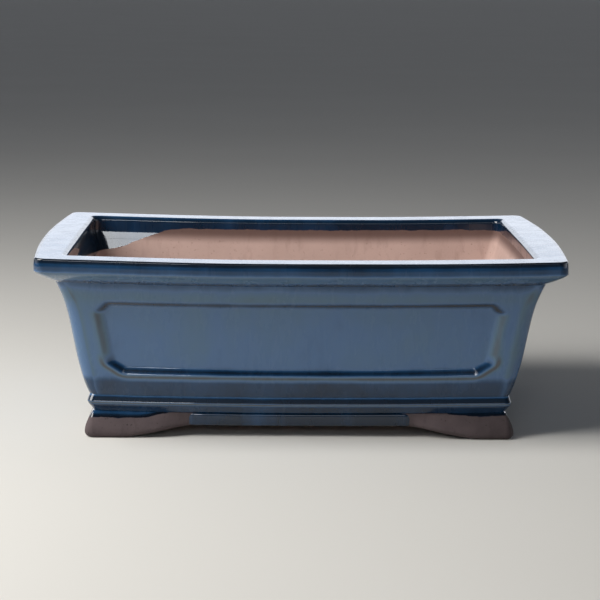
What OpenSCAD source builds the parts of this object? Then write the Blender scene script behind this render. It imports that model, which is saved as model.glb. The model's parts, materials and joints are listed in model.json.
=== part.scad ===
// Rectangular bonsai pot in glazed stoneware, standing on four corner feet.
// Units are millimetres and +Z is up. The origin is on the ground at the middle of the pot,
// +X runs along the long side, and the front faces -Y.
// The pot is put together from separately formed clay members. Each member is one sub-part:
// a floor slab, four wall slabs, and the rim, belt, apron and foot strips luted onto them.
// A profile is a list of [inset, height] points, where inset is how far a point lies inside
// the rim's outer edge.

/* [Pot] */
// Length of the rim between its corners
pot_l = 250; // [230:1:300]
// Depth of the rim from front to back
pot_d = 190; // [170:1:230]
// Height from the ground to the top of the rim
pot_h = 90; // [88:1:110]
// How far each short end of the rim bows outwards at its middle
end_bow = 4.5; // [2:0.5:8]

/* [Rim] */
// Height of the rim above its crease with the wall
rim_h = 12; // [11:0.5:13]
// Height of the upright face along the rim's outer edge
rim_face_h = 4.5; // [3.5:0.1:5]
// How far the rim overhangs the top of the wall
rim_overhang = 9.3; // [8:0.1:10.5]
// Width of the rim's top along the long sides
rim_w_long = 16.7; // [15:0.1:18]
// Width of the rim's top at the corners of the short sides
rim_w_end = 13.9; // [13:0.1:16]
// Radius of the rim's corners in plan
rim_corner_r = 4.5; // [2:0.5:6]

/* [Walls] */
// How far the wall leans in from its top to its foot, apart from its sweep
wall_lean = 8.8; // [6:0.1:10]
// How far the wall's S-shaped sweep adds to that lean
wall_sweep = 5.2; // [3:0.1:6]
// Thickness of the wall where it stands on the floor
wall_t = 7.2; // [6:0.1:9]

/* [Panels] */
// Depth of the sunken panel in each wall
panel_depth = 2.3; // [0.8:0.1:2.4]
// Distance from the wall's corner to the end of its panel
panel_margin = 11.5; // [11:0.5:18]
// Distance from the rim's crease down to the top of the panel
panel_drop = 8.5; // [6:0.5:10]
// Height of the panel
panel_h = 37; // [28:1:38]
// Length of the cut at each corner of the panel
panel_cut = 5; // [3:0.5:8]

/* [Base] */
// Height of the rounded belt around the foot of the walls
belt_h = 8.5; // [7:0.5:10]
// How far the belt bulges
belt_bulge = 1.4; // [0.8:0.1:2]
// Gap between the ground and the aprons
apron_gap = 7; // [5:0.5:8]
// Length of each foot along a long side
foot_long = 55; // [45:1:65]
// Length of each foot along a short side
foot_short = 42; // [35:1:50]
// Length of the flat sole at the foot's corner
sole_l = 19; // [14:1:24]
// Width of the foot's sole
foot_w = 12; // [10:0.5:14]
// How far the foot flares out below the waist
foot_flare = 4; // [2:0.5:5]

/* [Holes] */
// Diameter of each drain hole
drain_d = 26; // [20:1:32]
// Distance between the two drain holes
drain_pitch = 84; // [70:1:110]
// Diameter of each hole for a tie wire
wire_d = 5; // [4:0.5:6]
// Distance between the wire holes along the pot
wire_pitch_x = 144; // [130:1:160]
// Distance between the wire holes across the pot
wire_pitch_y = 88; // [70:1:100]

/* [Hidden] */

glaze_blue = [0.16, 0.26, 0.38];
raw_clay = [0.72, 0.58, 0.53];
foot_clay = [0.33, 0.28, 0.29];

half_l = pot_l / 2;
half_d = pot_d / 2;

// Heights of the joints between the members
belt_z = 13.5;
wall_z = belt_z + belt_h;
crease_z = pot_h - rim_h;
panel_top = crease_z - panel_drop;

// Steps from one member's face back to the next
waist_step = 1.9;
belt_set_back = 0.6;
belt_ledge = 2.8;
apron_set_back = 0.4;

// Insets of the faces where the members meet
wall_foot_in = rim_overhang + wall_lean + wall_sweep;
waist_in = wall_foot_in + waist_step;
belt_back_in = waist_in + belt_ledge;
cavity_in = wall_foot_in + wall_t;
foot_toe_in = waist_in - foot_flare;
foot_back_in = foot_toe_in + foot_w;
apron_in = waist_in + apron_set_back;

// Rounding of the rim's underside, the rim's bevelled edge, the foot's toe and the apron's top
rim_round = 5;
rim_edge = 1;
toe_round = 2;
apron_round = 1.5;

// How far the apron's lower edge stands out, and the height of its bevel
apron_flare = 2;
apron_bevel = 0.8;

// Smallest inset at which the short rims' arcs may end, well behind their inner edge
arc_depth = 2 * rim_w_end;

// Facets of a full circle on the short rims' large arcs
arc_facets = 1440;

// Radius of the arc that each short end of the rim follows
bow_r = (pow(half_d, 2) + pow(end_bow, 2)) / (2 * end_bow);

steps = 24;
far = 40;
$fn = 64;

// ---------- profiles ----------

// Inset of the wall's outer face at height z: a straight lean with a cubic sweep on it
function wall_at(z) =
    let (t = (crease_z + wall_z - 2 * z) / (crease_z - wall_z))
    rim_overhang + (1 + t) * wall_lean / 2 + (1 + pow(t, 3)) * wall_sweep / 2;

// The wall's section, sunk by the given depth on its outer face
function wall_section(inner_top, sink = 0) = [
    for (i = [0:steps])
        let (z = wall_z + (crease_z - wall_z) * i / steps) [wall_at(z) + sink, z],
    [inner_top, crease_z],
    [cavity_in, wall_z]
];

// The rim's section: an upright face, a quarter round under it and a slope back to the wall
function rim_section(inner) = [
    [inner, crease_z],
    [rim_overhang, crease_z],
    for (a = [90:-9:0])
        [rim_round * (1 - cos(a)), pot_h - rim_face_h - rim_round * sin(a)],
    [0, pot_h - rim_edge],
    [rim_edge, pot_h],
    [inner, pot_h]
];

// The belt's section: a shallow bead between the foot of the wall and the waist
function belt_section() = [
    for (i = [0:12])
        let (t = i / 12)
        [wall_foot_in + belt_set_back + (waist_step - belt_set_back) * t - belt_bulge * sin(180 * t),
         wall_z - belt_h * t],
    [belt_back_in, belt_z],
    [belt_back_in, wall_z]
];

// The foot's section: it flares out from the waist to a rounded toe
function foot_section() = [
    for (i = [0:10])
        let (z = belt_z - (belt_z - toe_round) * i / 10)
        [waist_in - foot_flare * sin(90 * i / 10), z],
    for (a = [15:15:90])
        [foot_toe_in + toe_round * (1 - cos(a)), toe_round * (1 - sin(a))],
    [foot_back_in, 0],
    [foot_back_in + 2, belt_z]
];

// The apron's section: a rounded top edge, a slight flare and a flat underside
function apron_section() = [
    for (a = [0:15:90])
        [apron_in - apron_round * sin(a), belt_z - apron_round * (1 - cos(a))],
    [apron_in - apron_flare, apron_gap + apron_bevel],
    [apron_in - apron_flare + apron_bevel, apron_gap],
    [foot_back_in, apron_gap],
    [foot_back_in + 1, belt_z]
];

// Underside of a leg, s millimetres from the foot's toe, rising smoothly from sole to apron
function leg_rise(s, leg) =
    let (t = min(1, max(0, (s - sole_l) / (leg - sole_l)))) apron_gap * t * t * (3 - 2 * t);

// ---------- helpers ----------

// Turns a member that is drawn for the front to another side: 0 front, 1 right, 2 back, 3 left
module to_side(side) {
    rotate([0, 0, 90 * side]) children();
}

// A section extruded along the front, whose rim edge lies at -reach
module strip(section, reach, length) {
    rotate([90, 0, 90])
        translate([0, 0, -length / 2])
            linear_extrude(height = length)
                polygon([for (p = section) [p[0] - reach, p[1]]]);
}

// A plan outline extruded over the whole height of the pot
module prism(outline) {
    translate([0, 0, -far]) linear_extrude(height = pot_h + 2 * far) polygon(outline);
}

// Keeps what lies between the mitres at the two ends of a front strip
module mitred(reach, half_length, run = 1, rise = 1) {
    intersection() {
        children();
        prism([
            [-half_length - far * run, -reach - far * rise],
            [half_length + far * run, -reach - far * rise],
            [half_length - far * run, -reach + far * rise],
            [-half_length + far * run, -reach + far * rise]
        ]);
    }
}

// Cuts the four corners of the rim round in plan
module rim_corners_rounded() {
    difference() {
        children();
        for (sx = [-1, 1], sy = [-1, 1])
            translate([sx * (half_l - rim_corner_r), sy * (half_d - rim_corner_r), crease_z - 1])
                difference() {
                    translate([sx > 0 ? 0 : -far, sy > 0 ? 0 : -far, 0]) cube([far, far, far]);
                    cylinder(r = rim_corner_r, h = far);
                }
    }
}

// Outline of a wall's panel, seen square on, for a wall whose corner lies at half_length
function panel_outline(half_length) =
    let (
        panel_foot = panel_top - panel_h,
        top_half = half_length - wall_at(panel_top) - panel_margin,
        foot_half = half_length - wall_at(panel_foot) - panel_margin,
        half_top_side = [[foot_half - panel_cut, panel_foot], [foot_half, panel_foot + panel_cut],
                         [top_half, panel_top - panel_cut], [top_half - panel_cut, panel_top]]
    )
    concat(half_top_side, [for (i = [3:-1:0]) [-half_top_side[i][0], half_top_side[i][1]]]);

// ---------- members ----------

// A wall slab for the front, with its sunken panel
module wall_slab(reach, half_length, inner_top) {
    difference() {
        strip(wall_section(inner_top), reach, 2 * half_length);
        difference() {
            translate([0, -reach + far, 0])
                rotate([90, 0, 0])
                    linear_extrude(height = 2 * far) polygon(panel_outline(half_length));
            strip(wall_section(inner_top, panel_depth), reach, 2 * half_length);
        }
    }
}

// A long wall, whose ends are shaped to the outer faces of the short walls
module long_wall() {
    profile = wall_section(rim_w_end);
    color(glaze_blue) intersection() {
        wall_slab(half_d, half_l, rim_w_long);
        rotate([90, 0, 0])
            linear_extrude(height = 2 * pot_d, center = true)
                polygon(concat(
                    [for (i = [0:steps]) [half_l - profile[i][0], profile[i][1]]],
                    [for (i = [steps:-1:0]) [-half_l + profile[i][0], profile[i][1]]]
                ));
    }
}

// A short wall, which fits between the inner faces of the long walls
module short_wall() {
    top_half = half_d - rim_w_long;
    foot_half = half_d - cavity_in;
    color(glaze_blue) intersection() {
        wall_slab(half_l, half_d, rim_w_end);
        rotate([90, 0, 0])
            linear_extrude(height = 2 * pot_l, center = true)
                polygon([[-foot_half, wall_z], [foot_half, wall_z],
                         [top_half, crease_z], [-top_half, crease_z]]);
    }
}

// A straight rim strip along a long side
module long_rim() {
    color(glaze_blue) rim_corners_rounded()
        mitred(half_d, half_l, rim_w_end / rim_w_long, 1)
            strip(rim_section(rim_w_long), half_d, pot_l);
}

// A rim strip along the short side at +X, bowed outside and straight inside
module short_rim() {
    sweep = asin(half_d / bow_r) + 1;
    inner_x = half_l - rim_w_end;
    inner_y = half_d - rim_w_long;
    color(glaze_blue) rim_corners_rounded() intersection() {
        translate([half_l + end_bow - bow_r, 0, 0])
            rotate([0, 0, -sweep])
                rotate_extrude(angle = 2 * sweep, $fn = arc_facets)
                    polygon([for (p = rim_section(arc_depth)) [bow_r - p[0], p[1]]]);
        prism([
            [inner_x, -inner_y],
            [inner_x + 2 * rim_w_end, -inner_y - 2 * rim_w_long],
            [inner_x + 2 * rim_w_end, inner_y + 2 * rim_w_long],
            [inner_x, inner_y]
        ]);
    }
}

// A belt strip for one side
module belt(reach, half_length) {
    color(glaze_blue) mitred(reach, half_length)
        strip(belt_section(), reach, 2 * half_length);
}

// An apron between two feet
module apron(reach, half_length, leg) {
    span = 2 * (half_length - foot_toe_in - leg);
    color(glaze_blue) strip(apron_section(), reach, span);
}

// One leg of a foot along the front, cut to its rising underside. The foot's corner is at -X
module foot_leg(reach, half_length, length) {
    toe_x = -half_length + foot_toe_in;
    intersection() {
        mitred(reach, half_length) strip(foot_section(), reach, 2 * half_length);
        rotate([90, 0, 0])
            linear_extrude(height = 2 * (reach + far), center = true)
                polygon([
                    [toe_x - far, -1],
                    [toe_x + sole_l, -1],
                    for (i = [0:steps])
                        let (s = sole_l + (length - sole_l) * i / steps)
                        [toe_x + s, leg_rise(s, length)],
                    [toe_x + length, belt_z + 1],
                    [toe_x - far, belt_z + 1]
                ]);
    }
}

// A corner foot: two legs that meet at a mitre. It is drawn for the front left corner
module foot() {
    color(foot_clay) union() {
        foot_leg(half_d, half_l, foot_long);
        mirror([1, -1, 0]) foot_leg(half_l, half_d, foot_short);
    }
}

// The floor slab, with two drain holes and four holes for tie wires
module floor_slab() {
    slab_l = pot_l - 2 * belt_back_in;
    slab_d = pot_d - 2 * belt_back_in;
    color(raw_clay) difference() {
        translate([-slab_l / 2, -slab_d / 2, belt_z]) cube([slab_l, slab_d, belt_h]);
        for (sx = [-1, 1]) {
            translate([sx * drain_pitch / 2, 0, belt_z - 1]) cylinder(d = drain_d, h = belt_h + 2);
            for (sy = [-1, 1])
                translate([sx * wire_pitch_x / 2, sy * wire_pitch_y / 2, belt_z - 1])
                    cylinder(d = wire_d, h = belt_h + 2, $fn = 32);
        }
    }
}

// ---------- sub-parts ----------

module front_wall() { long_wall(); }
module back_wall() { to_side(2) long_wall(); }
module left_wall() { to_side(3) short_wall(); }
module right_wall() { to_side(1) short_wall(); }

module rim_front() { long_rim(); }
module rim_back() { to_side(2) long_rim(); }
module rim_left() { to_side(2) short_rim(); }
module rim_right() { short_rim(); }

module belt_front() { belt(half_d, half_l); }
module belt_back() { to_side(2) belt(half_d, half_l); }
module belt_left() { to_side(3) belt(half_l, half_d); }
module belt_right() { to_side(1) belt(half_l, half_d); }

module apron_front() { apron(half_d, half_l, foot_long); }
module apron_back() { to_side(2) apron(half_d, half_l, foot_long); }
module apron_left() { to_side(3) apron(half_l, half_d, foot_short); }
module apron_right() { to_side(1) apron(half_l, half_d, foot_short); }

module foot_front_left() { foot(); }
module foot_front_right() { mirror([1, 0, 0]) foot(); }
module foot_back_left() { mirror([0, 1, 0]) foot(); }
module foot_back_right() { to_side(2) foot(); }

floor_slab();
front_wall();
back_wall();
left_wall();
right_wall();
rim_front();
rim_back();
rim_left();
rim_right();
belt_front();
belt_back();
belt_left();
belt_right();
apron_front();
apron_back();
apron_left();
apron_right();
foot_front_left();
foot_front_right();
foot_back_left();
foot_back_right();
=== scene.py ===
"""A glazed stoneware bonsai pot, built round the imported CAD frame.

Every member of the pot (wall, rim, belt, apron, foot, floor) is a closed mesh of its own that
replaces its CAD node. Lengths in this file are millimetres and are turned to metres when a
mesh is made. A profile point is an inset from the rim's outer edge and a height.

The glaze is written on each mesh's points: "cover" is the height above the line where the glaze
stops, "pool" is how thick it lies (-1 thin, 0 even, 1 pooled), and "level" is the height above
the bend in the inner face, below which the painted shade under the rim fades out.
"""

import json
import math

import bpy
import numpy as np
from mathutils import Matrix, Vector, noise


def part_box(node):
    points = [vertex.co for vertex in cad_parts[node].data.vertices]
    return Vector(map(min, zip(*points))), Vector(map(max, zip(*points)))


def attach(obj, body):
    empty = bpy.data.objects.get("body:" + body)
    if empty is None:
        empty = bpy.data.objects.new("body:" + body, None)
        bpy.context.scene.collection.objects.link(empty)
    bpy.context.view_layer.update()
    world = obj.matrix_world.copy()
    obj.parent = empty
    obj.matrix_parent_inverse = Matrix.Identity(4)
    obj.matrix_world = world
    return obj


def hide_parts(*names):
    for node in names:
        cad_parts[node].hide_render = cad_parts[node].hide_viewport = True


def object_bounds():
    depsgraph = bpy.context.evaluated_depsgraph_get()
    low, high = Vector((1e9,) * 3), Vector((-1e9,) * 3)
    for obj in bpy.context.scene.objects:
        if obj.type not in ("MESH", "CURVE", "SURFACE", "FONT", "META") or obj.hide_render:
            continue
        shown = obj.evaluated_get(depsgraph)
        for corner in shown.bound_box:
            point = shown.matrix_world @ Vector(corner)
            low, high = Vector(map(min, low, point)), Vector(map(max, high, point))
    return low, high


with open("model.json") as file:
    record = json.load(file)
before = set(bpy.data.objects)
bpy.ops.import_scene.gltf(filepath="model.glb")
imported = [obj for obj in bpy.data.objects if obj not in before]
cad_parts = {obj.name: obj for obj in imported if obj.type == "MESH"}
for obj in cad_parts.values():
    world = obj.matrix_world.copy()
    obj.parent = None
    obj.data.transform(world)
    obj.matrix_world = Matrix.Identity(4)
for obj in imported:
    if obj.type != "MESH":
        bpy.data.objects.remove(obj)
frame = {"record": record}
cad_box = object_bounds()

# ---------- sizes ----------

MM = 0.001
CLEAR = 0.25                      # kept free inside the CAD box for the surface's unevenness
END_BOW = 4.5                     # how far the middle of the rim's short sides stands out
HALF_L = cad_box[1].x / MM - END_BOW
HALF_D = cad_box[1].y / MM
RIM_TOP = cad_box[1].z / MM

CREASE_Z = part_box("rim_front")[0].z / MM
WALL_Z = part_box("front_wall")[0].z / MM
BELT_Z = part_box("belt_front")[0].z / MM
APRON_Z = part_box("apron_front")[0].z / MM

RIM_OVERHANG = 9.3
RIM_W_LONG = 16.7
RIM_W_END = 13.9
RIM_ARRIS_Z = RIM_TOP - 6.0       # lower edge of the rim's outer face
RIM_FACE_LEAN = 0.5
RIM_EDGE_R = 0.8
RIM_LIP_R = 2.4                   # roll from the rim's top into the mouth
WALL_LEAN = 8.8
WALL_SWEEP = 5.2
WALL_T = 7.2
WALL_FOOT_IN = RIM_OVERHANG + WALL_LEAN + WALL_SWEEP
CAVITY_IN = WALL_FOOT_IN + WALL_T
INNER_BEND = RIM_TOP - 8.0        # where the inner face turns from upright to sloping

WAIST_IN = WALL_FOOT_IN + 1.9
FOOT_FLARE = 4.0
TOE_IN = WAIST_IN - FOOT_FLARE
TOE_R = 2.6
FOOT_W = 12.0
FOOT_LONG = 55.0
FOOT_SHORT = 42.0
SOLE_L = 19.0
APRON_R = 3.0                     # radius of an apron's upper corners
APRON_LAP = 5.0                   # how far an apron's ends lap over the feet

PANEL_TOP = CREASE_Z - 8.5
PANEL_FOOT = PANEL_TOP - 37.0
PANEL_MARGIN = 11.3
PANEL_CUT = 5.5
PANEL_DEPTH = 2.3
PANEL_BEVEL = 3.6
PANEL_ROUND = 4.4                 # radius at the panel's corners
PANEL_END_EASE = 0.75             # the bevels at the panel's ends are this much shallower

CORNER_R = 4.5
BELT_CORNER_R = 3.2
MOUTH_R = 4.2
MOUTH_BOW = 0.2                   # share of the rim's bow that the mouth has
WALL_BOW = 0.35                   # share of it that the top of the walls has
SAG = 1.9                         # how far the middle of the long sides sank in the kiln
UNEVEN = 0.22                     # how far the surface strays from true
POT_MIDDLE = 150.0                # farther along a side than its middle

HIDDEN = 0.3                      # how far the rings inside a joint lie behind its edge
HAIR = 0.04                       # a ring this close to a crease keeps its shading crisp

GLAZED = 5.0                      # "cover" where all of a surface is glazed
BARE = -5.0                       # "cover" where none of it is
INSIDE_POOL = 0.6


def smooth(t):
    """Eases from 0 at t = 0 to 1 at t = 1."""
    t = np.clip(t, 0.0, 1.0)
    return t * t * (3 - 2 * t)


def wall_at(z):
    """Inset of the wall's outer face at height z."""
    t = (CREASE_Z + WALL_Z - 2 * z) / (CREASE_Z - WALL_Z)
    return RIM_OVERHANG + (1 + t) * WALL_LEAN / 2 + (1 + t ** 3) * WALL_SWEEP / 2


# ---------- rings: one closed loop of points round the pot ----------

ARC_STEPS = 12                    # steps round each corner
PROFILE_STEPS = 4                 # steps between two points of a profile
NEAR = np.concatenate([np.arange(0, 5, 1.25), np.arange(5, 25, 0.7)])   # columns near a corner
MIDDLE = 26                       # columns along the middle of a side


def side_columns(half_straight):
    """Positions along a side, finely spaced where the panel's ends are."""
    reach = half_straight - NEAR[-1]
    middle = np.linspace(-reach, reach, MIDDLE + 1)[1:-1]
    return np.concatenate([NEAR - half_straight, middle, (half_straight - NEAR)[::-1]])


SIDE_COUNT = 2 * len(NEAR) + MIDDLE - 1
PER_SIDE = SIDE_COUNT + ARC_STEPS - 1
COLUMNS = 4 * PER_SIDE


def ring(in_x, in_y, z, radius=CORNER_R, bow=0.0):
    """A rounded rectangle at height z, as an array of points that starts at the front's left end."""
    hx, hy = HALF_L - in_x - radius, HALF_D - in_y - radius
    points = []
    for side in range(4):
        run, reach = (hx, hy) if side % 2 == 0 else (hy, hx)
        along = side_columns(run)
        turn = math.pi / 2 * side
        flat = np.stack([along, np.full_like(along, -reach - radius)], 1)
        angle = np.linspace(-math.pi / 2, 0, ARC_STEPS + 1)[1:-1]
        arc = np.stack([run + radius * np.cos(angle), -reach + radius * np.sin(angle)], 1)
        both = np.concatenate([flat, arc])
        c, s = math.cos(turn), math.sin(turn)
        points.append(both @ np.array([[c, s], [-s, c]]))
    xy = np.concatenate(points)
    x, y = xy[:, 0], xy[:, 1]
    x = x + np.sign(x) * bow * END_BOW * (1 - (y / HALF_D) ** 2) * (np.abs(x) / HALF_L) ** 3
    return np.stack([x, y, np.full_like(x, float(z))], 1)


def kiln_warp(points):
    """The slight sag of the long sides and the unevenness of a hand-finished pot."""
    out = points.copy()
    x, y, z = out[:, 0], out[:, 1], out[:, 2]
    lift = smooth(z / 10.0)
    out[:, 2] -= SAG * lift * (1 - (x / HALF_L) ** 2)
    wobble = np.array([noise.noise_vector(Vector(p) / 55.0) for p in points]) * UNEVEN
    wobble[:, 2] *= lift
    out += np.clip(wobble, -CLEAR, CLEAR)
    out[:, 2] = np.minimum(out[:, 2], RIM_TOP - 0.05)
    return out


def curve_through(points, per_span=6):
    """Catmull-Rom points through a short list of profile points."""
    p = np.array(points, float)
    p = np.concatenate([2 * p[:1] - p[1:2], p, 2 * p[-1:] - p[-2:-1]])
    out = []
    for i in range(1, len(p) - 2):
        for t in np.arange(per_span) / per_span:
            a, b, c, d = p[i - 1], p[i], p[i + 1], p[i + 2]
            out.append(0.5 * (2 * b + (c - a) * t + (2 * a - 5 * b + 4 * c - d) * t ** 2
                              + (3 * b - a - 3 * c + d) * t ** 3))
    out.append(p[-2])
    return np.array(out)


# ---------- meshes ----------

SIDES = ("front", "right", "back", "left")


def grid_normals(grid):
    """Smooth normals of a closed grid of points, [ring, column, xyz]. Both directions wrap."""
    down = np.roll(grid, -1, 0) - np.roll(grid, 1, 0)
    along = np.roll(grid, -1, 1) - np.roll(grid, 1, 1)
    face = np.cross(along, down)
    return face / np.maximum(np.linalg.norm(face, axis=2, keepdims=True), 1e-12)


def strip_piece(name, grid, attributes, normals=None, material=None, replaced=()):
    """A closed solid from a grid of closed sections, [ring, column, xyz], with a cap at each end."""
    rings, cols = grid.shape[:2]
    points = grid.reshape(-1, 3)
    index = np.arange(rings * cols).reshape(rings, cols)
    a, b = index[:, :-1], index[:, 1:]
    faces = np.stack([a, b, np.roll(b, -1, 0), np.roll(a, -1, 0)], 2).reshape(-1, 4).tolist()
    faces.append(index[:, 0].tolist())
    faces.append(index[::-1, -1].tolist())
    mesh = bpy.data.meshes.new(name)
    mesh.from_pydata((points * MM).tolist(), [], faces)
    for key, values in attributes.items():
        layer = mesh.attributes.new(key, "FLOAT", "POINT")
        layer.data.foreach_set("value", np.ascontiguousarray(values.reshape(-1), np.float32))
    if signed_volume(mesh) < 0:
        mesh.flip_normals()
    mesh.shade_smooth()
    if normals is not None:
        mesh.normals_split_custom_set_from_vertices(normals.reshape(-1, 3).tolist())
    return add_piece(name, mesh, material, replaced)


def signed_volume(mesh):
    """Six times a mesh's volume, positive if its faces point outwards."""
    total = 0.0
    mesh.calc_loop_triangles()
    for t in mesh.loop_triangles:
        a, b, c = (mesh.vertices[i].co for i in t.vertices)
        total += a.dot(b.cross(c))
    return total


def add_piece(name, mesh, material, replaced):
    """An object of the fixed body that stands in for the CAD nodes it replaces."""
    piece = bpy.data.objects.new(name, mesh)
    bpy.context.scene.collection.objects.link(piece)
    mesh.materials.append(material)
    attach(piece, "root")
    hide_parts(*replaced)
    return piece


def four_sides(prefix, suffix, grid, attributes, material):
    """Cuts a closed ring of sections at the middle of its four corners, one piece a side."""
    normals = grid_normals(grid)
    if outward(grid, normals) < 0:
        normals = -normals
    for k, side in enumerate(SIDES):
        start = (k - 1) * PER_SIDE + SIDE_COUNT - 1 + ARC_STEPS // 2
        cols = np.arange(start, start + PER_SIDE + 1) % COLUMNS
        name = prefix + side + suffix
        strip_piece("glazed_" + name, grid[:, cols],
                    {key: v[:, cols] for key, v in attributes.items()},
                    normals[:, cols], material, (name,))


def outward(grid, normals):
    """Positive if the normals of a ring of sections point out of its solid."""
    centre = grid.mean(0, keepdims=True)
    return float(((grid - centre) * normals).sum())


# ---------- glaze and clay on the surface ----------

GLAZE_DROP = 5.6                  # how far down inside the pot the glaze goes
GLAZE_RUN = 12.5                  # how much farther it ran at the back's left end


def inner_glaze_line(x, y):
    """Height at which the glaze stops inside the pot: it ran deeper at the back's left end."""
    left = smooth((-x - 64.0) / 44.0)
    back = smooth((y + 60.0) / 90.0)
    return RIM_TOP - GLAZE_DROP - GLAZE_RUN * left * back - 1.0 * smooth((x - 95.0) / 15.0)


# ---------- materials ----------

class Nodes:
    """A short way to write the node tree of a material or a world."""

    def __init__(self, owner):
        owner.use_nodes = True
        self.owner = owner
        self.tree = owner.node_tree
        self.tree.nodes.clear()
        self.coords = self.add("ShaderNodeTexCoord").outputs

    def add(self, kind, inputs=None, **settings):
        node = self.tree.nodes.new(kind)
        for key, value in settings.items():
            setattr(node, key, value)
        for key, value in (inputs or {}).items():
            self.put(node.inputs[key], value)
        return node

    def put(self, socket, value):
        if isinstance(value, bpy.types.NodeSocket):
            self.tree.links.new(value, socket)
        else:
            socket.default_value = value

    def math(self, operation, a, b):
        return self.add("ShaderNodeMath", {0: a, 1: b}, operation=operation).outputs[0]

    def plus(self, value, wave, amount):
        """A value with a noise added that is centred on zero."""
        swing = self.math("MULTIPLY", self.math("SUBTRACT", wave, 0.5), amount)
        return self.math("ADD", value, swing)

    def stretch(self, value, low, high, to_low=0.0, to_high=1.0):
        node = self.add("ShaderNodeMapRange", {"Value": value, "From Min": low, "From Max": high,
                                               "To Min": to_low, "To Max": to_high},
                        interpolation_type="SMOOTHSTEP")
        return node.outputs["Result"]

    def noise(self, scale, detail=3.0, roughness=0.5, squash=(1, 1, 1), warp=0.0):
        place = self.add("ShaderNodeMapping", {"Vector": self.coords["Object"], "Scale": squash})
        node = self.add("ShaderNodeTexNoise", {"Vector": place.outputs[0], "Scale": scale,
                                               "Detail": detail, "Roughness": roughness,
                                               "Distortion": warp})
        return node.outputs["Fac"]

    def ramp(self, value, stops):
        node = self.add("ShaderNodeValToRGB", {"Fac": value})
        ramp = node.color_ramp
        while len(ramp.elements) > 1:
            ramp.elements.remove(ramp.elements[-1])
        ramp.elements[0].position, ramp.elements[0].color = stops[0][0], (*stops[0][1], 1)
        for position, colour in stops[1:]:
            ramp.elements.new(position).color = (*colour, 1)
        return node.outputs["Color"]

    def mix(self, factor, a, b):
        node = self.add("ShaderNodeMix", data_type="RGBA")
        for key, value in (("Factor", factor), ("A", a), ("B", b)):
            self.put(node.inputs[key], value)
        return node.outputs["Result"]

    def attribute(self, name):
        return self.add("ShaderNodeAttribute", attribute_name=name).outputs["Fac"]

    def bump(self, height, distance, strength=1.0, under=None):
        node = self.add("ShaderNodeBump", {"Height": height, "Distance": distance,
                                           "Strength": strength})
        if under is not None:
            self.put(node.inputs["Normal"], under)
        return node.outputs["Normal"]

    def surface(self, shader):
        self.add("ShaderNodeOutputMaterial", {"Surface": shader})
        return self.owner


GLAZE_COLOURS = (                 # from thinnest to thickest
    (0.00, (0.068, 0.058, 0.050)),
    (0.22, (0.058, 0.067, 0.080)),
    (0.38, (0.067, 0.130, 0.195)),
    (0.52, (0.058, 0.125, 0.248)),
    (0.68, (0.009, 0.046, 0.115)),
    (0.82, (0.002, 0.012, 0.030)),
    (1.00, (0.001, 0.003, 0.008)),
)
GLAZE_IOR = 1.5
COAT_ROUGHNESS = 0.035
CLAY_IOR = 1.45
CLAY_ROUGHNESS = 0.88
PAINTED_SHADE_DEPTH = 6.0                 # how far below the inner bend the painted shade under the rim fades out


def glaze_shader(n):
    """Deep blue reactive glaze: dark where it pooled, brown where it broke thin on an edge."""
    mottle = n.noise(34, 5, 0.55, warp=0.4)
    streaks = n.noise(60, 4, 0.6, squash=(1, 1, 0.12))
    thickness = n.math("ADD", n.math("MULTIPLY", n.attribute("pool"), 0.5), 0.5)
    thickness = n.plus(n.plus(thickness, mottle, 0.22), streaks, 0.20)
    normal = n.bump(n.noise(22, 1, 0.5, squash=(1, 1, 0.6)), 0.0006, 0.16)
    normal = n.bump(n.noise(240, 1, 0.5), 0.00004, 0.045, under=normal)
    matt = n.stretch(n.noise(90, 4, 0.65, squash=(1, 1, 0.2)), 0.3, 0.75, 0.20, 0.34)
    shader = n.add("ShaderNodeBsdfPrincipled", {
        "Base Color": n.ramp(thickness, GLAZE_COLOURS), "Roughness": matt, "IOR": GLAZE_IOR,
        "Specular IOR Level": 0.12, "Normal": normal, "Coat Weight": 1.0,
        "Coat Roughness": COAT_ROUGHNESS, "Coat IOR": GLAZE_IOR, "Coat Normal": normal,
    })
    return shader.outputs[0]


def clay_shader(n, light, dark, grit, rim_shade=None):
    """Unglazed stoneware: matt, gritty, a little uneven in colour, with painted shade under the rim.
    """
    cloud = n.noise(28, 5, 0.6)
    speck = n.noise(900, 2, 0.5)
    colour = n.mix(n.stretch(cloud, 0.3, 0.7), (*light, 1), (*dark, 1))
    wiped = n.noise(210, 4, 0.65, squash=(1, 1, 0.22))
    colour = n.mix(n.stretch(wiped, 0.50, 0.72, 0.0, 0.38), colour, (*grit, 1))
    colour = n.mix(n.stretch(speck, 0.66, 0.74), colour, (*grit, 1))
    # painted shade: the clay at and above the inner bend is darkened, fading out below it
    if rim_shade:
        strength, tone = rim_shade
        rim_shade_amount = n.stretch(n.attribute("level"), -PAINTED_SHADE_DEPTH, 0.0, 0.0, strength)
        colour = n.mix(rim_shade_amount, colour, (*tone, 1))
    rough = n.bump(n.noise(1400, 3, 0.6), 0.00012, 0.5)
    rough = n.bump(n.noise(160, 3, 0.5, squash=(1, 1, 0.5)), 0.0003, 0.3, under=rough)
    shader = n.add("ShaderNodeBsdfPrincipled", {
        "Base Color": colour, "Roughness": CLAY_ROUGHNESS, "IOR": CLAY_IOR, "Normal": rough,
    })
    return shader.outputs[0]


def glazed_clay(name, light, dark, grit, rim_shade=None):
    """Glaze over clay, ending in a wavy line where the attribute "cover" passes zero."""
    n = Nodes(bpy.data.materials.new(name))
    edge = n.plus(n.attribute("cover"), n.noise(130, 4, 0.6), 2.2)
    clay, glaze = clay_shader(n, light, dark, grit, rim_shade), glaze_shader(n)
    mixed = n.add("ShaderNodeMixShader", {0: n.stretch(edge, -0.12, 0.12), 1: clay, 2: glaze})
    return n.surface(mixed.outputs[0])


def plain_clay(name, light, dark, grit):
    """Unglazed clay alone."""
    n = Nodes(bpy.data.materials.new(name))
    return n.surface(clay_shader(n, light, dark, grit))


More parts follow.
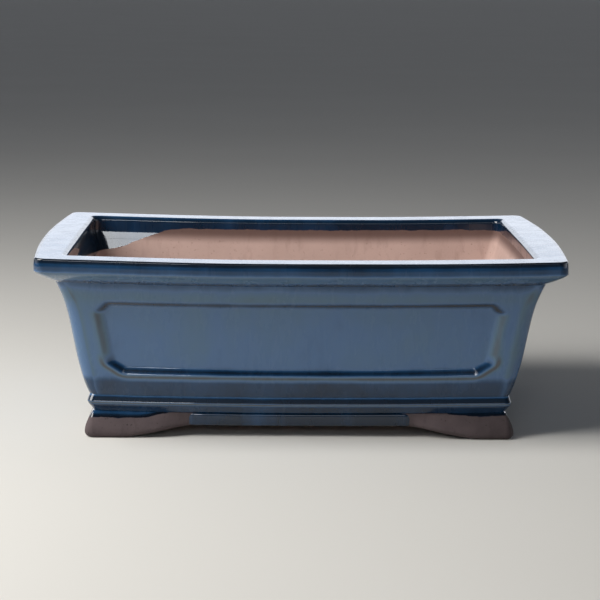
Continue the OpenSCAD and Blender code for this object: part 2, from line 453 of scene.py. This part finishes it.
# each clay's light, dark and grit colours
PALE_CLAY = ((0.50, 0.350, 0.305), (0.45, 0.312, 0.270), (0.32, 0.21, 0.175))
# painted shade: the feet's clay is the body's pale clay, darkened for the feet
SHADED_FOOT_CLAY = ((0.088, 0.065, 0.068), (0.050, 0.037, 0.039), (0.026, 0.018, 0.018))
# painted shade under the rim's inner lip: its strength and its dark tone
RIM_PAINTED_SHADE = (0.86, (0.085, 0.042, 0.034))

body_material = glazed_clay("glazed_stoneware", *PALE_CLAY, RIM_PAINTED_SHADE)
shaded_foot_material = glazed_clay("foot_stoneware_painted_shade", *SHADED_FOOT_CLAY)
floor_material = plain_clay("floor_stoneware", *PALE_CLAY)


# ---------- members ----------

def stacked(rings):
    """Warped rings as one grid, [ring, column, xyz]."""
    return np.stack([kiln_warp(r) for r in rings])


def bead(values, centre, width):
    """A bump of height 1 about a centre."""
    return np.exp(-((values - centre) / width) ** 2)


def inner_face(z):
    """Insets of the cavity's side at height z, along the pot and across it."""
    t = (INNER_BEND - z) / (INNER_BEND - WALL_Z)
    down = 0.5 * (t + math.sqrt(t * t + 0.0001))
    return (RIM_W_END + (CAVITY_IN - RIM_W_END) * down,
            RIM_W_LONG + (CAVITY_IN - RIM_W_LONG) * down)


def joint_ledge():
    """The two hidden rings between rim and walls, from the mouth outwards."""
    return [ring(RIM_W_END - HIDDEN, RIM_W_LONG - HIDDEN, CREASE_Z, MOUTH_R, MOUTH_BOW),
            ring(RIM_OVERHANG + HIDDEN, RIM_OVERHANG + HIDDEN, CREASE_Z, CORNER_R, WALL_BOW)]


def rim_outside():
    """Profile of the cove under the rim, its leaning outer face and its upper edge."""
    crease = [(RIM_OVERHANG, CREASE_Z), (RIM_OVERHANG - 0.05, CREASE_Z + HAIR)]
    cove = [(RIM_OVERHANG, CREASE_Z), (8.6, CREASE_Z + 0.5), (6.4, CREASE_Z + 1.6),
            (3.8, CREASE_Z + 3.0), (1.6, CREASE_Z + 4.4), (0.45, CREASE_Z + 5.5), (0.0, RIM_ARRIS_Z)]
    face_top = RIM_TOP - RIM_EDGE_R
    face = [(RIM_FACE_LEAN * t, RIM_ARRIS_Z + (face_top - RIM_ARRIS_Z) * t)
            for t in np.linspace(0.03, 1.0, 7)]
    turn = np.radians(np.arange(18, 91, 18))
    edge = np.stack([RIM_FACE_LEAN + RIM_EDGE_R * (1 - np.cos(turn)),
                     face_top + RIM_EDGE_R * np.sin(turn)], 1)
    return np.concatenate([crease, curve_through(cove, PROFILE_STEPS)[1:], face, edge])


def rim_outside_pool(inset, z):
    """Glaze thick on the face, thin under it and pooled again in the crease."""
    on_face = smooth((z - RIM_ARRIS_Z + 0.6) / 1.2)
    face = 0.44 + 0.45 * smooth((z - RIM_TOP + 2.4) / 1.4)
    under = 0.6 * smooth((inset - 5.0) / 2.6) - 0.14
    return face * on_face + under * (1 - on_face)


def build_rim():
    rings, pool = [], []
    outside = rim_outside()
    for inset, z in outside:
        i = max(inset, CLEAR)
        near_wall = smooth(inset / RIM_OVERHANG)
        rings.append(ring(i, i, z, CORNER_R, 1 - (1 - WALL_BOW) * near_wall))
        pool.append(rim_outside_pool(inset, z))
    brow = RIM_EDGE_R + RIM_FACE_LEAN
    top_rings = np.linspace(0.08, 1.0, 7)
    for t in top_rings:
        a = brow + (RIM_W_END - RIM_LIP_R - brow) * t
        b = brow + (RIM_W_LONG - RIM_LIP_R - brow) * t
        rings.append(ring(a, b, RIM_TOP, CORNER_R, 1 - (1 - MOUTH_BOW) * t))
        pool.append(0.15)
    for a in np.radians(np.arange(9, 91, 9)):
        back = RIM_LIP_R * (1 - math.sin(a))
        drop = RIM_LIP_R * (1 - math.cos(a))
        rings.append(ring(RIM_W_END - back, RIM_W_LONG - back, RIM_TOP - drop, MOUTH_R, MOUTH_BOW))
        pool.append(0.3 + 0.35 * smooth(a))
    for z in [*np.linspace(RIM_TOP - RIM_LIP_R - 0.4, CREASE_Z + 0.4, 18), CREASE_Z + HAIR]:
        rings.append(ring(*inner_face(z), z, MOUTH_R, MOUTH_BOW))
        pool.append(INSIDE_POOL)
    rings += [ring(*inner_face(CREASE_Z), CREASE_Z, MOUTH_R, MOUTH_BOW), *joint_ledge()]
    pool += [0.0, 0.0, 0.5]
    flat = np.stack(rings)
    cover = flat[:, :, 2] - inner_glaze_line(flat[:, :, 0], flat[:, :, 1])
    cover[:len(outside) + len(top_rings)] = GLAZED
    cover[-1] = GLAZED
    pool_grid = np.repeat(np.array(pool)[:, None], COLUMNS, 1)
    level = flat[:, :, 2] - INNER_BEND
    four_sides("rim_", "", stacked(rings), {"cover": cover, "pool": pool_grid, "level": level},
               body_material)


def to_segment(px, py, start, end):
    """Distance from points to a straight segment."""
    dx, dy = end[0] - start[0], end[1] - start[1]
    t = np.clip(((px - start[0]) * dx + (py - start[1]) * dy) / (dx * dx + dy * dy), 0.0, 1.0)
    return np.hypot(px - start[0] - t * dx, py - start[1] - t * dy)


def panel_inside(corner_gap, z):
    """Distance inside the sunken panel's chamfered outline, its corners rounded; negative outside."""
    u = (corner_gap - PANEL_MARGIN) * PANEL_END_EASE
    up = np.full_like(u, z - PANEL_FOOT)
    tall = PANEL_TOP - PANEL_FOOT
    down = tall - up
    cuts = [(u + v - PANEL_CUT) / math.sqrt(2) for v in (down, up)]
    nearest = np.minimum.reduce([u, down, up, *cuts])
    r = PANEL_ROUND
    turn = PANEL_CUT + r * (math.sqrt(2) - 1)
    core = [(POT_MIDDLE, r), (turn, r), (r, turn), (r, tall - turn), (turn, tall - r),
            (POT_MIDDLE, tall - r)]
    beyond = np.minimum.reduce([to_segment(u, up, a, b) for a, b in zip(core, core[1:])])
    return np.where(nearest > r, nearest, r - beyond)


def side_positions(inset_x, inset_y):
    """For each column, its side and its distance from that side's nearer corner."""
    points = ring(inset_x, inset_y, 0.0)
    side = np.repeat(np.arange(4), PER_SIDE)
    half = np.where(side % 2 == 0, HALF_L - inset_x, HALF_D - inset_y)
    along = np.where(side % 2 == 0, np.abs(points[:, 0]), np.abs(points[:, 1]))
    return side, half - along


def bevelled(t):
    """A straight ramp from 0 to 1 with slightly rounded ends."""
    soft = 0.05
    t = np.asarray(t)
    return 0.5 * (np.sqrt(t * t + soft ** 2) - np.sqrt((t - 1) ** 2 + soft ** 2) + 1)


WALL_ROWS = np.unique(np.round(np.concatenate([
    np.linspace(WALL_Z, PANEL_FOOT - 2, 6), np.arange(PANEL_FOOT - 2, PANEL_FOOT + 8, 0.35),
    np.linspace(PANEL_FOOT + 8, PANEL_TOP - 8, 8), np.arange(PANEL_TOP - 8, PANEL_TOP + 2, 0.4),
    np.linspace(PANEL_TOP + 2, CREASE_Z, 8), [WALL_Z + HAIR, CREASE_Z - HAIR]]), 3))[::-1]


INWARD = np.array([(0, 1), (-1, 0), (0, -1), (1, 0)], float)      # for each side of the pot


def wall_row(z):
    """One row of the walls' outer face: its points and how the glaze lies on them."""
    inset = wall_at(z)
    up = (z - WALL_Z) / (CREASE_Z - WALL_Z)
    fuller = 2.0 * smooth(4 * up) * smooth(4 * (1 - up))
    points = ring(inset, inset, z, CORNER_R + fuller, WALL_BOW * smooth((up - 0.3) / 0.7))
    side, gap = side_positions(inset, inset)
    inside = panel_inside(gap, z)
    low = smooth((PANEL_FOOT + 12 - z) / 8.0)
    high = smooth((z - PANEL_TOP + 7.5) / 3.0)
    upright = smooth((PANEL_TOP - 3 - z) / 3.0) * smooth((z - PANEL_FOOT - 5) / 3.0)
    bevel = PANEL_BEVEL + 0.5 * low * (2 * smooth(1 - gap / 90.0) - 0.8)
    points[:, :2] += INWARD[side] * (PANEL_DEPTH * bevelled(inside / bevel))[:, None]
    thin = 0.46 * (1 - low) * bead(inside, 0.9, 1.7) + 0.85 * low * bead(inside, -1.1, 1.1)
    thin = thin * (1 - high) * (0.8 + 0.2 * upright) + 0.26 * bead(gap, 4.2, 1.5)
    in_panel = (0.62 * low * bead(inside, 0.5 * bevel, 0.42 * bevel)
                + 0.70 * high * bead(inside, 1.5, 1.15))
    by_height = (0.38 * bead(z, CREASE_Z, 3.0) - 0.14 * bead(z, PANEL_TOP + 1.5, 3.5)
                 + 0.44 * smooth((PANEL_FOOT - z) / 4.0) - 0.12 * (up - 0.6))
    return points, in_panel - thin + by_height


def wall_inside():
    """Rings of the cavity, from the fillet at its floor up to the rim."""
    fillet = curve_through([(CAVITY_IN + 5.5, WALL_Z - 0.03), (CAVITY_IN + 2.2, WALL_Z + 0.7),
                            (CAVITY_IN - 0.2, WALL_Z + 3.0), (CAVITY_IN - 1.9, WALL_Z + 7.0)],
                           PROFILE_STEPS)
    slope = [*np.linspace(WALL_Z + 9, CREASE_Z - 0.4, 18), CREASE_Z - HAIR, CREASE_Z]
    profile = [(i, i, z) for i, z in fillet] + [(*inner_face(z), z) for z in slope]
    rings = []
    for in_x, in_y, z in profile:
        t = (z - WALL_Z) / (CREASE_Z - WALL_Z)
        rings.append(ring(in_x, in_y, z, MOUTH_R + 5.0 * (1 - t), MOUTH_BOW * smooth(t)))
    return rings


def build_walls():
    rows = [wall_row(z) for z in WALL_ROWS]
    foot = ring(WALL_FOOT_IN + HIDDEN, WALL_FOOT_IN + HIDDEN, WALL_Z)
    inside = wall_inside()
    rings = np.stack([*(points for points, _ in rows), foot, *inside, *joint_ledge()])
    height = rings[:, :, 2]
    cover = height - inner_glaze_line(rings[:, :, 0], rings[:, :, 1])
    cover[:len(rows) + 1] = GLAZED
    cover[-2] = BARE
    cover[-1] = GLAZED
    pool = np.full(height.shape, INSIDE_POOL)
    pool[:len(rows)] = [glaze for _, glaze in rows]
    pool[len(rows)] = 0.0
    pool[-2] = 0.0
    pool[-1] = 0.5
    four_sides("", "_wall", stacked(rings),
               {"cover": cover, "pool": pool, "level": height - INNER_BEND}, body_material)


def build_belts():
    """A rounded bead round the foot of the walls, hollow under its roll."""
    offsets = [(0.5, 0.0), (0.1, -1.0), (-0.4, -2.5), (-0.66, -3.3), (-0.7, -3.7),
               (-0.62, -4.1), (-0.15, -5.1), (1.0, -6.8), (2.0, BELT_Z + 0.1 - WALL_Z)]
    outer = curve_through([(WALL_FOOT_IN + i, WALL_Z + z) for i, z in offsets], PROFILE_STEPS)
    back = WAIST_IN + 2.8
    closed = [*outer, (WALL_FOOT_IN + 2.3, BELT_Z), (back, BELT_Z), (back, WALL_Z),
              (WALL_FOOT_IN + 0.8, WALL_Z)]
    grid = stacked([ring(i, i, z, BELT_CORNER_R) for i, z in closed])
    down = WALL_Z - np.array([z for _, z in closed])
    pool = np.where(down < 3.6, 0.75, 0.52)
    pool = pool - 1.15 * bead(down, 4.0, 0.5) - 0.85 * bead(down, 0.2, 0.7)
    spread = np.ones(grid.shape[:2])
    four_sides("belt_", "", grid, {"cover": GLAZED * spread, "pool": pool[:, None] * spread},
               body_material)


# ---------- feet and aprons ----------

def foot_grid(sign_x, sign_y, glaze_z):
    """A corner foot as closed sections along an L-shaped path with a rounded corner."""
    r, step = CORNER_R, 1.5
    run_x = np.arange(0, FOOT_LONG - r + 0.1, step)[::-1]
    run_y = np.arange(0, FOOT_SHORT - r + 0.1, step)
    turn = np.radians(np.linspace(0, 90, ARC_STEPS + 1))[1:-1]
    stations = [("x", s) for s in run_x] + [("arc", a) for a in turn] + [("y", s) for s in run_y]
    sections, cover, pool = [], [], []
    for kind, value in stations:
        leg = FOOT_LONG if kind == "x" else FOOT_SHORT
        along = 0.0 if kind == "arc" else value + r
        section, covers, pools = foot_section(along, leg, glaze_z)
        sections.append([foot_point(kind, value, inset, z, sign_x, sign_y) for inset, z in section])
        cover.append(covers)
        pool.append(pools)
    grid = np.array(sections).transpose(1, 0, 2)
    flat = grid.reshape(-1, 3)
    return (kiln_warp(flat).reshape(grid.shape), np.array(cover).T, np.array(pool).T)


def foot_section(along, leg, glaze_z):
    """Inset and height of the points round a foot's section, so far along a leg from its corner.

    The sole rises to the apron's level, and the end tucks in behind the apron."""
    climb = (along - SOLE_L) / (leg - SOLE_L)
    rise = APRON_Z * (0.35 * smooth(climb) + 0.65 * min(1.0, max(0.0, climb)))
    tuck = 4.6 * smooth((along - 0.6 * leg) / (0.36 * leg))
    low = rise + TOE_R
    heights = np.linspace(BELT_Z, low, 14)
    share = (BELT_Z - heights) / (BELT_Z - TOE_R)
    insets = WAIST_IN - (FOOT_FLARE - tuck) * np.sin(math.pi / 2 * share)
    outer = list(zip(insets, heights))
    toe = [(insets[-1] + TOE_R * (1 - math.cos(a)), low - TOE_R * math.sin(a))
           for a in np.radians(np.arange(15, 91, 15))]
    back = TOE_IN + FOOT_W
    heel = [(back - 1.2, rise), (back - 0.3, rise + 0.4), (back + 0.1, rise + 1.4),
            (back + 1.0, BELT_Z)]
    unseen = len(toe) + len(heel)
    line = glaze_z + 3.4 * smooth((along - 0.45 * leg) / (0.38 * leg))
    cover = [z - line for z in heights] + [BARE] * unseen
    pool = [0.34 + 0.7 * bead(z - line, 0.45, 0.9) for z in heights] + [0.0] * unseen
    return outer + toe + heel, cover, pool


def foot_point(kind, value, inset, z, sign_x, sign_y):
    """A section's point at one station of the foot's path, for the corner with those signs."""
    r = CORNER_R
    cx, cy = HALF_L - TOE_IN - r, HALF_D - TOE_IN - r
    out = r + TOE_IN - inset
    if kind == "x":
        x, y = cx - value, cy + out
    elif kind == "y":
        x, y = cx + out, cy - value
    elif out > 0:
        x, y = cx + out * math.sin(value), cy + out * math.cos(value)
    else:
        lean = math.degrees(value) / 90
        x, y = cx + out * min(1, 2 * lean), cy + out * min(1, 2 * (1 - lean))
    return (sign_x * x, sign_y * y, z)


FOOT_GLAZE_Z = {"front_left": 10.6, "front_right": 12.2, "back_left": 11.4, "back_right": 10.9}


def build_feet():
    for place, glaze_z in FOOT_GLAZE_Z.items():
        sign_y = -1 if place.startswith("front") else 1
        sign_x = -1 if place.endswith("left") else 1
        grid, cover, pool = foot_grid(sign_x, sign_y, glaze_z)
        strip_piece("clay_foot_" + place, grid, {"cover": cover, "pool": pool}, None,
                    shaded_foot_material, ("foot_" + place,))


def apron_section(gap):
    """Inset and height round an apron's section, this far from its nearer end.

    Its upper corners are rounded and its ends shrink back. The last three points are bare clay."""
    dip = APRON_R - math.sqrt(max(0.0, APRON_R ** 2 - max(0.0, APRON_R - gap) ** 2))
    front = WAIST_IN + 0.9 * (1 - smooth(gap / 2.5))
    top = BELT_Z - 0.05 - 0.95 * dip
    face = curve_through([(WAIST_IN + 0.3, top), (front - 0.25, top - 0.15), (front - 0.5, top - 0.6),
                          (front - 0.65, top - 1.8 + 0.3 * dip), (front - 0.4, APRON_Z + 1.2),
                          (front, APRON_Z + 0.3), (front + 0.6, APRON_Z)], 3)
    back = WAIST_IN + 8.8
    return [*face, (back - 1.0, APRON_Z), (back, APRON_Z + 0.8), (back, top - 0.4), (back - 0.6, top)]


def build_aprons():
    for k, side in enumerate(SIDES):
        leg = FOOT_LONG if k % 2 == 0 else FOOT_SHORT
        half, reach = (HALF_L, HALF_D) if k % 2 == 0 else (HALF_D, HALF_L)
        end = half - TOE_IN - leg + APRON_LAP
        ease = APRON_R * (1 - np.cos(np.radians(np.arange(0, 91, 15))))
        middle = np.linspace(APRON_R - end, end - APRON_R, 24)[1:-1]
        places = np.concatenate([ease - end, middle, (end - ease)[::-1]])
        sections = np.array([apron_section(end - abs(place)) for place in places])
        inset, height = sections[:, :, 0], sections[:, :, 1]
        c, s = math.cos(math.pi / 2 * k), math.sin(math.pi / 2 * k)
        out, along = reach - inset, places[:, None]
        grid = np.stack([along * c + out * s, along * s - out * c, height], 2).transpose(1, 0, 2)
        warped = kiln_warp(grid.reshape(-1, 3)).reshape(grid.shape)
        cover = np.full(grid.shape[:2], GLAZED)
        cover[-3:] = BARE
        pool = np.full(grid.shape[:2], 0.62)
        strip_piece("glazed_apron_" + side, warped, {"cover": cover, "pool": pool}, None,
                    body_material, ("apron_" + side,))


CUTTER_DEPTH = 0.05               # metres, much more than the floor's thickness
HOLE_LIP = 0.9


def build_floor():
    """The floor slab, with its drain and wire holes cut through and their lips softened."""
    low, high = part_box("floor_slab")
    bpy.ops.mesh.primitive_cube_add(size=1)
    slab = bpy.context.active_object
    slab.name = "clay_floor"
    slab.scale = high - low
    slab.location = (low + high) / 2
    bpy.ops.object.transform_apply(location=True, scale=True)
    cutters = []
    for mount in frame["record"]["mounts"]:
        if mount["kind"] != "bore":
            continue
        bpy.ops.mesh.primitive_cylinder_add(vertices=96, radius=mount["dims"]["r_mm"] * MM,
                                            depth=CUTTER_DEPTH, location=mount["pos_m"])
        cutters.append(bpy.context.active_object)
    for cutter in cutters:
        cut = slab.modifiers.new("hole", "BOOLEAN")
        cut.operation = "DIFFERENCE"
        cut.object = cutter
        cut.solver = "EXACT"
        with bpy.context.temp_override(object=slab, active_object=slab):
            bpy.ops.object.modifier_apply(modifier=cut.name)
        bpy.data.objects.remove(cutter)
    soften = slab.modifiers.new("soft_lips", "BEVEL")
    soften.width = HOLE_LIP * MM
    soften.segments = 3
    soften.limit_method = "ANGLE"
    soften.angle_limit = math.radians(40)
    mesh = slab.data
    mesh.shade_smooth()
    mesh.materials.clear()
    mesh.materials.append(floor_material)
    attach(slab, "root")
    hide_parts("floor_slab")


build_rim()
build_walls()
build_belts()
build_feet()
build_aprons()
build_floor()


# ---------- stage, lights and camera ----------

def build_stage():
    """A plain pale floor under the pot."""
    bpy.ops.mesh.primitive_plane_add(size=60, location=(0, 0, 0))
    ground = bpy.context.active_object
    ground.name = "ground"
    n = Nodes(bpy.data.materials.new("pale_ground"))
    tone = n.mix(n.noise(3, 2, 0.5), (0.60, 0.585, 0.55, 1), (0.64, 0.625, 0.59, 1))
    shader = n.add("ShaderNodeBsdfPrincipled", {"Base Color": tone, "Roughness": 0.9})
    ground.data.materials.append(n.surface(shader.outputs[0]))


def softbox(name, location, aim, size, power, colour):
    """A rectangular light that the camera doesn't see."""
    light = bpy.data.lights.new(name, "AREA")
    light.shape = "RECTANGLE"
    light.size, light.size_y = size
    light.energy = power
    light.color = colour
    lamp = bpy.data.objects.new(name, light)
    lamp.location = location
    lamp.rotation_euler = (Vector(aim) - Vector(location)).to_track_quat("-Z", "Y").to_euler()
    lamp.visible_camera = False
    bpy.context.scene.collection.objects.link(lamp)


WARM, COOL = (1.0, 0.985, 0.96), (0.93, 0.96, 1.0)


def build_lights():
    """A large light at the left, a weak one in front and a small window that the glaze mirrors."""
    softbox("main_left", (-0.66, -0.32, 0.66), (-0.05, -0.05, 0.05), (0.60, 0.80), 14.5, WARM)
    softbox("fill_front", (-0.05, -1.90, 0.62), (0, 0, 0.08), (1.30, 0.25), 1.9, COOL)
    softbox("window", (-0.26, -1.88, 0.62), (0, 0, 0.08), (0.28, 0.25), 1.8, COOL)


def build_room():
    """A dim room that is bright along the horizon behind the pot and at its sides."""
    world = bpy.data.worlds.new("room")
    n = Nodes(world)
    way = n.add("ShaderNodeSeparateXYZ", {0: n.coords["Generated"]})
    behind = n.stretch(way.outputs["Y"], -0.75, 0.1)
    low = n.stretch(way.outputs["Z"], 0.40, 0.16)
    band = n.math("MULTIPLY", n.math("MULTIPLY", behind, low), 1.28)
    glow = n.math("ADD", band, 0.05)
    backdrop = n.add("ShaderNodeBackground", {"Color": (0.86, 0.91, 1.0, 1), "Strength": glow})
    n.add("ShaderNodeOutputWorld", {"Surface": backdrop.outputs[0]})
    bpy.context.scene.world = world


def build_camera():
    """Slightly above the rim and square on, about a metre from the pot's middle."""
    distance, height, sideways = 1015.4, RIM_TOP + 129.0, 0.7
    yaw, pitch, roll = 0.014, 0.159, 0.009
    camera = bpy.data.objects.new("camera", bpy.data.cameras.new("camera"))
    bpy.context.scene.collection.objects.link(camera)
    camera.data.sensor_width = 36
    camera.data.lens = 120
    camera.data.clip_start = 0.05
    camera.data.clip_end = 80
    swing = Matrix.Rotation(-yaw, 4, "Z")
    place = Matrix.Translation(Vector((sideways, -distance, height)) * MM)
    tilt = Matrix.Rotation(math.pi / 2 - pitch, 4, "X")
    camera.matrix_world = swing @ place @ tilt @ Matrix.Rotation(roll, 4, "Z")
    bpy.context.scene.camera = camera


build_stage()
build_lights()
build_room()
build_camera()

bpy.context.scene.view_settings.view_transform = "Standard"
